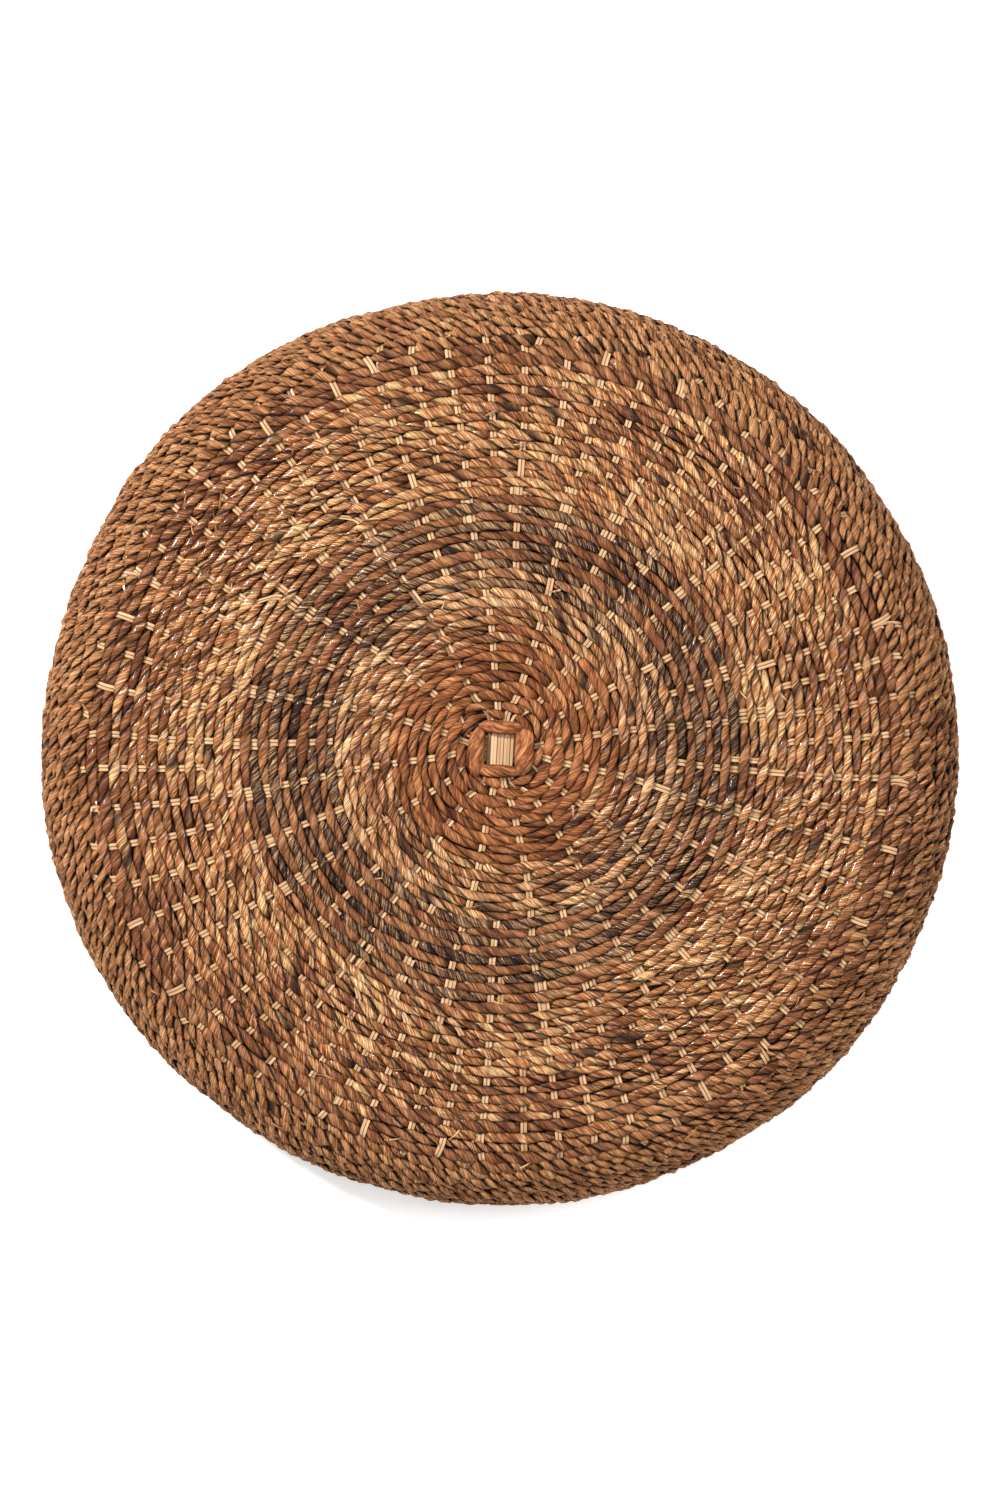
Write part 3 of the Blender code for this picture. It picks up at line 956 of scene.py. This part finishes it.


# each batch of leaf: its dark, middle and light tones, then its surface; the dark tone also colours the
# painted shade
leafFinishes = {
    "leaf_red_brown": {
        "dark": (0.095, 0.027, 0.009), "middle": (0.385, 0.131, 0.045), "light": (0.66, 0.285, 0.115),
        "roughness": 0.62, "specular": 0.14, "gloss": 0.00, "fibre": 0.95,
    },
    "leaf_pale": {
        "dark": (0.085, 0.028, 0.010), "middle": (0.490, 0.178, 0.058), "light": (0.96, 0.58, 0.28),
        "roughness": 0.48, "specular": 0.15, "gloss": 0.70, "fibre": 1.30,
    },
    "leaf_dark": {
        "dark": (0.022, 0.009, 0.005), "middle": (0.160, 0.059, 0.022), "light": (0.63, 0.35, 0.16),
        "roughness": 0.50, "specular": 0.15, "gloss": 0.55, "fibre": 2.30,
    },
    "leaf_golden": {
        "dark": (0.100, 0.029, 0.009), "middle": (0.520, 0.183, 0.056), "light": (0.97, 0.59, 0.26),
        "roughness": 0.44, "specular": 0.16, "gloss": 1.00, "fibre": 1.40,
    },
    "leaf_dull": {
        "dark": (0.080, 0.022, 0.007), "middle": (0.315, 0.112, 0.040), "light": (0.58, 0.275, 0.115),
        "roughness": 0.58, "specular": 0.15, "gloss": 0.35, "fibre": 1.15,
    },
    "leaf_tan": {
        "dark": (0.105, 0.036, 0.013), "middle": (0.520, 0.215, 0.083), "light": (0.80, 0.43, 0.195),
        "roughness": 0.64, "specular": 0.13, "gloss": 0.00, "fibre": 1.10,
    },
}
# what every batch shares: grains as stretch, detail and roughness, then marks, painted shade and gloss
leafSkin = {
    "fibre": ((2.9, 2.9, 130.0), 3.0, 0.62),
    "crack": ((2.1, 2.1, 125.0), 1.0, 0.50),
    "patch": ((0.9, 0.9, 75.0), 2.0, 0.50),
    "fleck": ((3.2, 3.2, 420.0), 2.0, 0.60),
    "middleAt": 0.46,
    "start": 0.47,
    "speckShare": 0.42,
    "speckBlend": 0.45,
    "creaseShadeBlend": 0.85,
    "burnt": (0.014, 0.007, 0.005),
    "shadowShare": 0.16,
    "coatRoughness": 0.15,
    "relief": 0.0006,
}


def makeLeaf(slot):
    look = leafFinishes[slot]
    finish, root, shader = startFinish(slot + "_cord")
    lay, tone, stain, groove, flank, fibres = (
        root.read(name) for name in ("lay", "tone", "stain", "groove", "flank", "fibres")
    )
    fibre, crack, patch, fleck = (
        source.stretched(leafSkin[name][0]).grain(1.0, *leafSkin[name][1:])
        for source, name in ((fibres, "fibre"), (fibres, "crack"), (lay, "patch"), (lay, "fleck"))
    )
    mix = leafSkin["start"] + tone * 0.38 + (patch - 0.5) * 1.3 + (fibre - 0.5) * look["fibre"] * 2.2
    stops = [(0.0, look["dark"]), (leafSkin["middleAt"], look["middle"]), (1.0, look["light"])]
    colour = root.node("ShaderNodeValToRGB", {"stops": stops}, {"Fac": mix.held()})
    specks = ((fleck - 0.60) * 5.0).held() * leafSkin["speckBlend"]
    colour = specks.blended(colour, colour4(look["middle"], leafSkin["speckShare"]))
    # painted shade: thin dark crease lines along the fibres, which the bump also presses in
    split = crack.maths("ABSOLUTE", crack - 0.5) * 10.0
    lines = (1 - split).held() * leafSkin["creaseShadeBlend"]
    colour = lines.blended(colour, colour4(look["dark"]))
    burnt = (stain * (0.55 + fibre * 0.8)).held()
    colour = burnt.blended(colour, colour4(leafSkin["burnt"]))
    # painted shade: the leaf is darkened in the grooves between strands and down the cord's sides
    # towards the row gaps
    shade = (groove * 1.05 + flank * 0.90).held()
    colour = shade.blended(colour, colour4(look["dark"], leafSkin["shadowShare"]))
    plug(colour, shader, "Base Color")
    rough = look["roughness"] + (0.5 - fibre) * 0.25 + (0.5 - patch) * 0.30 + shade * 0.25
    plug(rough.held(), shader, "Roughness")
    setSockets(shader, {"Specular IOR Level": look["specular"]})
    if look["gloss"]:
        shine = (patch * 2.4 - 0.70 + (fibre - 0.5) * 1.0).held() * look["gloss"]
        plug(shine * (1 - burnt) * (1 - shade), shader, "Coat Weight")
        setSockets(shader, {"Coat Roughness": leafSkin["coatRoughness"]})
    bump(root, shader, fibre * 0.8 + patch * 0.35 + fleck * 0.15 - lines * 0.30, 1.0, leafSkin["relief"])
    return finish


caneLook = {
    "pale": (0.68, 0.43, 0.225),
    "straw": (0.46, 0.25, 0.110),
    "line": (0.30, 0.15, 0.06),
    "brown": (0.24, 0.115, 0.05),
    "roughness": 0.50,
    "relief": 0.00015,
}


def makeCane():
    finish, root, shader = startFinish("cane_splint")
    lay, tone, stain, edge = (root.read(name) for name in ("lay", "tone", "stain", "edge"))
    lines = lay.stretched((5200.0, 5200.0, 60.0)).grain(1.0, 2.0, 0.6)
    blotch = lay.stretched((300.0, 300.0, 90.0)).grain(1.0, 2.0, 0.5)
    mix = (0.5 + tone * 0.50 + (blotch - 0.5) * 1.4).held()
    colour = mix.blended(colour4(caneLook["straw"]), colour4(caneLook["pale"]))
    marks = ((lines - 0.54) * 5.0).held() * 0.75
    colour = marks.blended(colour, colour4(caneLook["line"]))
    # painted shade: each splint's long edges are darkened towards brown, for the dark gap between the
    # two splints of a pair
    colour = (edge * 0.55).blended(colour, colour4(caneLook["brown"]))
    colour = stain.blended(colour, colour4(caneLook["brown"]))
    plug(colour, shader, "Base Color")
    plug((caneLook["roughness"] + (blotch - 0.5) * 0.3).held(), shader, "Roughness")
    bump(root, shader, lines, 0.6, caneLook["relief"])
    return finish


finishes = {slot: makeLeaf(slot) for slot in leafFinishes}
finishes["cane"] = makeCane()


def settle(piece, slot, *nodes):
    # finish, body and the CAD nodes that this piece stands for
    piece.data.materials.clear()
    piece.data.materials.append(finishes[slot])
    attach(piece, "root")
    if nodes:
        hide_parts(*nodes)


for rings, face, routes in ((faceRings, topFace, faceRoutes), (baseRings, underFace, baseRoutes)):
    ends = ringEnds(face)
    starts = [rows["start"]] + ends[:-1]
    for number, (node, (title, cord)) in enumerate(rings.items()):
        for route in routes:
            own = cord.get("partner", cord) if route["weaver"] else cord
            piece = weaveRing(route, number, starts[number], ends[number], title, own)
            settle(piece, own["slot"], node)
        print(f"wove {title}")


def modelStrip(name, wide, thick, cuts, edge=0.0):
    # a flat strip, one metre long, with cuts across it and its long edges taken off
    deselectAll()
    bpy.ops.mesh.primitive_cube_add(size=1, location=(0.5, 0, 0), scale=(1, wide, thick))
    blank = bpy.context.object
    blank.name = name
    bpy.ops.object.transform_apply(location=True, rotation=False, scale=True)
    bpy.ops.object.mode_set(mode="EDIT")
    pickLongEdges(blank)
    if edge:
        bpy.ops.mesh.bevel(offset=edge, segments=1, affect="EDGES")
        pickLongEdges(blank)
    bpy.ops.mesh.subdivide(number_cuts=cuts)
    bpy.ops.object.mode_set(mode="OBJECT")
    return blank


def modelSplint(name, cuts):
    thick = stakes["splintThickness"]
    return modelStrip(name, stakes["splintWidth"], thick, cuts, thick * stakes["edgeShare"])


def pickLongEdges(blank):
    bpy.ops.mesh.select_all(action="DESELECT")
    bpy.ops.mesh.select_mode(type="EDGE")
    shape = bmesh.from_edit_mesh(blank.data)
    for edge in shape.edges:
        run = edge.verts[1].co - edge.verts[0].co
        edge.select_set(abs(run.x) > 0.5)
    shape.select_flush_mode()
    bmesh.update_edit_mesh(blank.data)


# where the rows lift each stake or press it down
crossed = {}
for face, routes in ((topFace, faceRoutes), (underFace, baseRoutes)):
    for route in routes:
        for _, sign, spot, _, kind, family in route["met"]:
            crossed.setdefault((face.outward, kind, family), []).append((spot, sign))


def stakeWave(face, kind, family, along):
    # over a row the splint stands up a little, under a row it is pressed down
    own = "stake" if kind == "left" else "insert"
    met = list(crossed.get((face.outward, kind, family), []))
    if kind in ("left", "right"):
        shared = crossed.get((face.outward, own, family), [])
        met += [m for m in shared if m[0] < stakes["secondCounts"]]
    wave = np.zeros_like(along)
    for spot, sign in met:
        wave -= sign * stakes["wave"] * np.exp(-(((along - spot) / stakes["waveLength"]) ** 2))
    return wave


def copyOf(blank):
    # a linked copy of a blank, and the places of its points
    copy = link(blank.name, blank.data.copy())
    spots = np.zeros(len(copy.data.vertices) * 3)
    copy.data.vertices.foreach_get("co", spots)
    return copy, spots.reshape(-1, 3)


def fitSplint(blank, place, start, end, side, look):
    # a copy of the blank, bent along its stake; side is -1 or 1 in the pair
    copy, spots = copyOf(blank)
    run = start + (end - start) * spots[:, 0]
    centre, sideways, normal = place(run)
    offset = side * stakes["pairWidth"] / 4 + spots[:, 1]
    points = centre + sideways * offset[:, None] + normal * spots[:, 2:3]
    copy.data.vertices.foreach_set("co", points.ravel())
    copy.data.update()
    same = np.ones(len(spots))
    rim = np.abs(spots[:, 1]) / (stakes["splintWidth"] / 2)
    addValues(copy.data, False, {
        "lay": np.stack([spots[:, 1] + look, spots[:, 2] + look * 3, run], 1),
        "tone": same * np.random.default_rng(int(look * 1e5) + 3).uniform(-1, 1),
        "stain": same * (look == stainedLook),
        # edge grows towards the splint's long edges, where the cane finish paints shade
        "edge": smooth((rim - 0.75) / 0.25),
    })
    return copy


def joinPieces(parts, name):
    deselectAll()
    for part in parts:
        part.select_set(True)
    bpy.context.view_layer.objects.active = parts[0]
    bpy.ops.object.join()
    joined = bpy.context.object
    joined.name = name
    joined.data.name = name
    bpy.ops.object.shade_smooth_by_angle(angle=math.radians(40))
    return joined


def stakeFrame(face, angle, along, depth):
    # like pointOn, with the direction across the stake instead of across the rows
    centre, _, normal = pointOn(face, angle, along, depth)
    return centre, outFrom(angle + math.pi / 2), normal


def stakeDepth(face, along, wave):
    # under the closed rows of the shoulder the stakes lie deeper
    share = smooth((along - rows["hiddenFrom"]) / stakes["sinksOver"]) * (face is topFace)
    return face.depthOfRows(along) - wave + stakes["sunk"] * share


def stakePlace(face, kind, family):
    def place(run):
        angle = stakeAngle(face, kind, family, run)
        return stakeFrame(face, angle, run, stakeDepth(face, run, stakeWave(face, kind, family, run)))
    return place


def armEnd(bundle, arm, number):
    # family of the stake that this end of a pair turns into
    quarter = 2 * arm + (0 if bundle else 1)
    place = number if arm == 0 else 3 - number
    return (quarter * 4 - stakes["armStartsBefore"] + place) % 16


def crossPlace(face, bundle, number):
    # a pair through the cross: negative runs go down its second arm
    ahead, aside = aheadAside(math.radians(armHeading(bundle)))
    offset = (number - 1.5) * (stakes["pairWidth"] - stakes["tight"])
    families = [armEnd(bundle, arm, number) for arm in (0, 1)]

    def place(run):
        reach = np.abs(run)
        second = run < 0
        angle, wave = (
            np.where(second, *(measure(face, "stake", families[arm], reach) for arm in (1, 0)))
            for measure in (stakeAngle, stakeWave)
        )
        first, fades = stakes["levelFades"]
        level = stakes["levels"][bundle] * (1 - smooth((reach - first) / fades))
        centre, sideways, normal = stakeFrame(face, angle, reach, stakeDepth(face, reach, wave) + level)
        sideways = np.where(second[:, None], -sideways, sideways)
        straight = ahead[None, :] * run[:, None] + aside[None, :] * offset
        straight[:, 2] = centre[:, 2]
        spread = stakes["spreadLength"] - stakes["armLength"]
        bent = smooth((reach - stakes["armLength"] * stakes["straightShare"]) / spread)[:, None]
        centre = straight * (1 - bent) + centre * bent
        sideways = aside[None, :] * (1 - bent) + sideways * bent
        sideways /= np.linalg.norm(sideways, axis=1, keepdims=True)
        return centre, sideways, normal
    return place


longBlank = modelSplint("long_splint", 150)
midBlank = modelSplint("middle_splint", 64)
shortBlank = modelSplint("short_splint", 36)
lookNumbers = iter(range(1, 10000))
stainedLook = 0.77  # the one brown splint in the middle of the cross


def nextLook():
    # a number of its own for each splint, so that no two have the same grain
    return round(0.013 * next(lookNumbers), 5)


def addStakes(face, prefix):
    reach = face.end - stakes["baseStopsShort"]
    if face is topFace:
        reach = face.bendEnd + stakes["pastShoulder"]

    def fitPairs(kinds, family):
        pairs = [(kind, start, blank, side) for kind, start, blank in kinds for side in (-1, 1)]
        return [
            fitSplint(blank, stakePlace(face, kind, family), start, reach, side, nextLook())
            for kind, start, blank, side in pairs
        ]

    left = ("left", stakes["secondInsert"], midBlank)
    insert = ("insert", stakes["firstInsert"], midBlank)
    right = ("right", stakes["secondInsert"], midBlank)
    last = ("last", topFace.flatEnd - stakes["thirdBeforeShoulder"], shortBlank)
    for bundle, level in enumerate(("upper", "lower")):
        for number in range(4):
            place = crossPlace(face, bundle, number)
            parts = []
            for side in (-1, 1):
                brown = face is topFace and bundle == 0 and number == 3 and side == 1
                look = stainedLook if brown else nextLook()
                parts.append(fitSplint(longBlank, place, -reach, reach, side, look))
            for arm in (0, 1):
                kinds = (left,) if face is topFace else (left, insert, right)
                parts += fitPairs(kinds, armEnd(bundle, arm, number))
            piece = joinPieces(parts, f"{prefix}_splints_{level}_{number + 1}")
            settle(piece, "cane", f"{prefix}_cross_{level}_{number + 1}")
    if face is topFace:
        for family in range(stakes["families"]):
            parts = fitPairs((insert, right, last), family)
            piece = joinPieces(parts, f"face_inserted_splints_{family + 1:02d}")
            settle(piece, "cane", f"face_stake_{family + 1:02d}")


addStakes(topFace, "face")
addStakes(underFace, "base")
for blank in (longBlank, midBlank, shortBlank):
    bpy.data.objects.remove(blank, do_unlink=True)
print("set the splints")

# four passes of thicker leaf bind the arms of the cross: distance from the centre,
# half the width, half the length, and how far the pass is moved along itself
lashing = {
    "passes": (
        (0.0100, 0.0028, 0.0106, 0.0000),
        (0.0103, 0.0038, 0.0112, 0.0016),
        (0.0100, 0.0028, 0.0104, 0.0002),
        (0.0105, 0.0042, 0.0118, -0.0006),
    ),
    "tones": (0.35, 0.1, 0.15, 0.3),
    "halfHeight": 0.0025,
    "lift": 0.0023,
    "topLift": 0.0004,
    "tuck": 0.0024,
    "step": 0.0006,
    "bows": (-0.0002, 0.0012),
    "slimmer": 0.42,
    "baseLift": 0.30,
    "baseHeight": 0.85,
}
lashingCord = cordLike(redCord, strands=1, pitch=0.060, crease=0.8, ridge=0.07, wrinkle=0.006)
lashingCord.update(uneven=0.05, variety=0.2, steepness=0.3, blackFrom=1.5)
lashingFold = {
    "stops": (0.0, 0.05, 0.13, 0.22, 0.30, 0.36, 0.45, 0.55, 0.63, 0.70, 0.79, 0.88, 0.95),
    "heights": (0.84, 0.97, 1.04, 1.03, 0.96, 1.02, 1.06, 1.03, 0.95, 1.01, 1.05, 1.03, 0.97),
}


def lashCross(face, title, node):
    parts = []
    upper = face is topFace
    for number, (out, wide, half, moved) in enumerate(lashing["passes"]):
        ahead, aside = aheadAside(math.radians(armHeading(0)) + number * math.pi / 2)
        run = np.arange(-half, half, lashing["step"])
        share = run / half
        ends = np.abs(share) ** 3
        reach = out + lashing["bows"][number % 2] * (0.4 - share ** 2)
        lift = lashing["lift"] + (0 if number % 2 else lashing["topLift"]) - lashing["tuck"] * ends
        depth = face.depthOfRows(reach) - lift * (1.0 if upper else lashing["baseLift"])
        centre = ahead[None, :] * reach[:, None] + aside[None, :] * (run + moved)[:, None]
        centre[:, 2] = face.place(reach, depth)[1]
        slim = 1 - lashing["slimmer"] * ends
        path = {
            "centre": centre,
            "across": np.tile(ahead, (len(run), 1)),
            "normal": np.tile([0.0, 0.0, face.outward], (len(run), 1)),
            "length": run - run[0],
            "halfWidth": wide * slim,
            "halfHeight": lashing["halfHeight"] * slim * (1.0 if upper else lashing["baseHeight"]),
            "tone": 0 * run + lashing["tones"][number],
        }
        part = cordMesh(f"{title}_{number}", path, lashingCord, 9000 + number * 17, lashingFold)
        part.data.uv_layers.remove(part.data.uv_layers[0])
        parts.append(part)
    piece = joinPieces(parts, title)
    piece.data.polygons.foreach_set("use_smooth", np.ones(len(piece.data.polygons), bool))
    settle(piece, "leaf_red_brown", node)


lashCross(topFace, "face_lashing_cord", "face_lashing")
lashCross(underFace, "base_lashing_cord", "base_lashing")
print("lashed the crosses")

# the lacing closes the rim, stitch by stitch, over a cord that fills the gap
lacing = {
    "stitches": 190,
    "coil": 0.0034,
    "halfWidth": 0.00150,
    "halfHeight": 0.00085,
    "step": 0.0012,
    "coreWidth": 0.0024,
    "coreHeight": 0.0017,
    "clear": 0.0006,
}
lacingCord = cordLike(redCord, slot="leaf_tan", pitch=0.011, crease=0.8, blackFrom=1.2)


def rimCord(title, cord, seed, length, centre, across, normal, wide, high, tone):
    path = {
        "centre": centre,
        "across": across,
        "normal": normal,
        "length": length,
        "halfWidth": np.full(len(length), wide),
        "halfHeight": np.full(len(length), high),
        "tone": 0.3 * np.sin(tone),
    }
    settle(cordMesh(title, path, cord, seed, coarseFold), "leaf_tan", "rim_lacing")


def laceRim():
    low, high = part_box("rim_lacing")
    radius = ringRadius("rim_lacing") - (high.z - low.z) / 2
    middle = np.array([0, 0, low.z + lacing["coil"] + lacing["halfHeight"] + lacing["clear"]])
    total = 2 * math.pi * math.hypot(radius, lacing["stitches"] * lacing["coil"])
    run = np.linspace(0, 1, int(total / lacing["step"]))
    angle = 2 * math.pi * run
    coil = (angle * lacing["stitches"])[:, None]
    normal = outFrom(angle) * np.cos(coil) + np.array([[0.0, 0.0, 1.0]]) * np.sin(coil)
    centre = outFrom(angle) * radius + middle + normal * lacing["coil"]
    across = np.cross(np.gradient(centre, axis=0), normal)
    across /= np.linalg.norm(across, axis=1, keepdims=True)
    shape = (lacing["halfWidth"], lacing["halfHeight"], angle * 3)
    rimCord("rim_lacing_cord", lacingCord, 9500, run * total, centre, across, normal, *shape)
    angle = np.arange(0, 2 * math.pi + 0.03, lacing["step"] / radius)
    centre = outFrom(angle) * radius + middle
    normal = np.tile([0.0, 0.0, -1.0], (len(angle), 1))
    shape = (lacing["coreWidth"], lacing["coreHeight"], angle * 2 + 1)
    rimCord("rim_core_cord", tanCord, 9600, angle * radius, centre, outFrom(angle), normal, *shape)


laceRim()
print("laced the rim")

# short ends of leaf that have worked loose and lie across the rows
slivers = {
    "count": 110,
    "nearest": 0.045,
    "furthest": 0.205,
    "shortest": 0.0045,
    "longest": 0.0120,
    "width": 0.00095,
    "thickness": 0.00025,
    "arch": 0.00095,
    "under": 0.0006,
    "bend": 0.0008,
    "pointed": 0.9,
    "slants": (8, 50),
    "tones": (-0.6, 1.1),
    "seed": 71,
}


def modelSliver():
    # a strip that is pointed at one end
    blank = modelStrip("leaf_end", slivers["width"], slivers["thickness"], 7)
    for point in blank.data.vertices:
        point.co.y *= 1 - slivers["pointed"] * point.co.x ** 2
    return blank


def laySlivers(face, title, slot):
    blank = modelSliver()
    chance = np.random.default_rng(slivers["seed"])
    parts = []
    for number in range(slivers["count"]):
        angle = chance.uniform(0, 2 * math.pi)
        along = math.sqrt(chance.uniform(slivers["nearest"] ** 2, slivers["furthest"] ** 2))
        along = min(along, face.end - 0.02)
        long = chance.uniform(slivers["shortest"], slivers["longest"])
        slant = math.radians(chance.choice([-1, 1]) * chance.uniform(*slivers["slants"]))
        slant += chance.integers(2) * math.pi
        copy, spots = copyOf(blank)
        run, wide, high = spots.T
        side = wide + slivers["bend"] * np.sin(run * math.pi) * chance.uniform(-1, 1)
        turned = long * (run - 0.5) * math.cos(slant) - side * math.sin(slant)
        outward = long * (run - 0.5) * math.sin(slant) + side * math.cos(slant)
        arch = slivers["arch"] * chance.uniform(0.4, 1.0) * np.sin(run * math.pi)
        depth = slivers["under"] - arch - high
        centre, _, _ = pointOn(face, angle + turned / along, along + outward, depth)
        copy.data.vertices.foreach_set("co", centre.ravel())
        copy.data.update()
        lay = np.stack([np.cos(wide * 2000 + number), np.sin(wide * 2000), run * long], 1)
        none = 0 * run
        tone = none + chance.uniform(*slivers["tones"])
        layers = {"lay": lay, "fibres": lay, "tone": tone, "stain": none, "groove": none, "flank": none}
        addValues(copy.data, False, layers)
        parts.append(copy)
    settle(joinPieces(parts, title), slot)
    bpy.data.objects.remove(blank, do_unlink=True)


laySlivers(topFace, "loose_leaf_ends", "leaf_golden")
print("laid the loose leaf ends")

# the stuffed lining inside, which only shows as a dark ground between the rows
filling = {
    "depth": 0.0064,
    "baseDepth": 0.0070,
    "colour": (0.085, 0.050, 0.028),
    "shadowShare": 0.35,
    "roughness": 0.95,
    "relief": 0.0004,
    "sides": 96,
    "holeRadius": 0.002,
}


def makeFilling():
    finish, root, shader = startFinish("filling_lining")
    threads = root.node("ShaderNodeTexCoord", {}, {}, 3).grain(900.0, 3.0, 0.6)
    dark = colour4(filling["colour"], filling["shadowShare"])
    plug(threads.held().blended(dark, colour4(filling["colour"])), shader, "Base Color")
    setSockets(shader, {"Roughness": filling["roughness"]})
    bump(root, shader, threads, 0.5, filling["relief"])
    return finish


def fillPad():
    flat = np.linspace(filling["holeRadius"], topFace.flatEnd, 14)
    bent = np.linspace(topFace.flatEnd + 0.008, topFace.end - 0.012, 12)
    radii, heights, _ = topFace.place(np.concatenate([flat, bent]), filling["depth"])
    floor = filling["baseDepth"]
    outline = [(out, height) for out, height in zip(radii, heights) if height > floor]
    outline.append((outline[-1][0] - 0.004, floor))
    outline += [(out, floor) for out in (0.15, 0.1, 0.05, filling["holeRadius"])]
    sides = filling["sides"]
    turns = [2 * math.pi * side / sides for side in range(sides)]
    points = [(out * math.cos(t), out * math.sin(t), height) for out, height in outline for t in turns]
    faces = []
    for near in range(0, (len(outline) - 1) * sides, sides):
        for side in range(sides):
            following = (side + 1) % sides
            far = near + sides
            faces.append((near + side, far + side, far + following, near + following))
    faces.append(tuple(range(sides)))
    faces.append(tuple(reversed(range(len(points) - sides, len(points)))))
    deselectAll()
    mesh = bpy.data.meshes.new("filling_cushion")
    mesh.from_pydata(points, [], faces)
    shape = bmesh.new()
    shape.from_mesh(mesh)
    bmesh.ops.recalc_face_normals(shape, faces=shape.faces)
    shape.to_mesh(mesh)
    shape.free()
    piece = link("filling_cushion", mesh)
    finishes["filling"] = makeFilling()
    settle(piece, "filling", "filling_pad")


fillPad()
print("filled the pad")
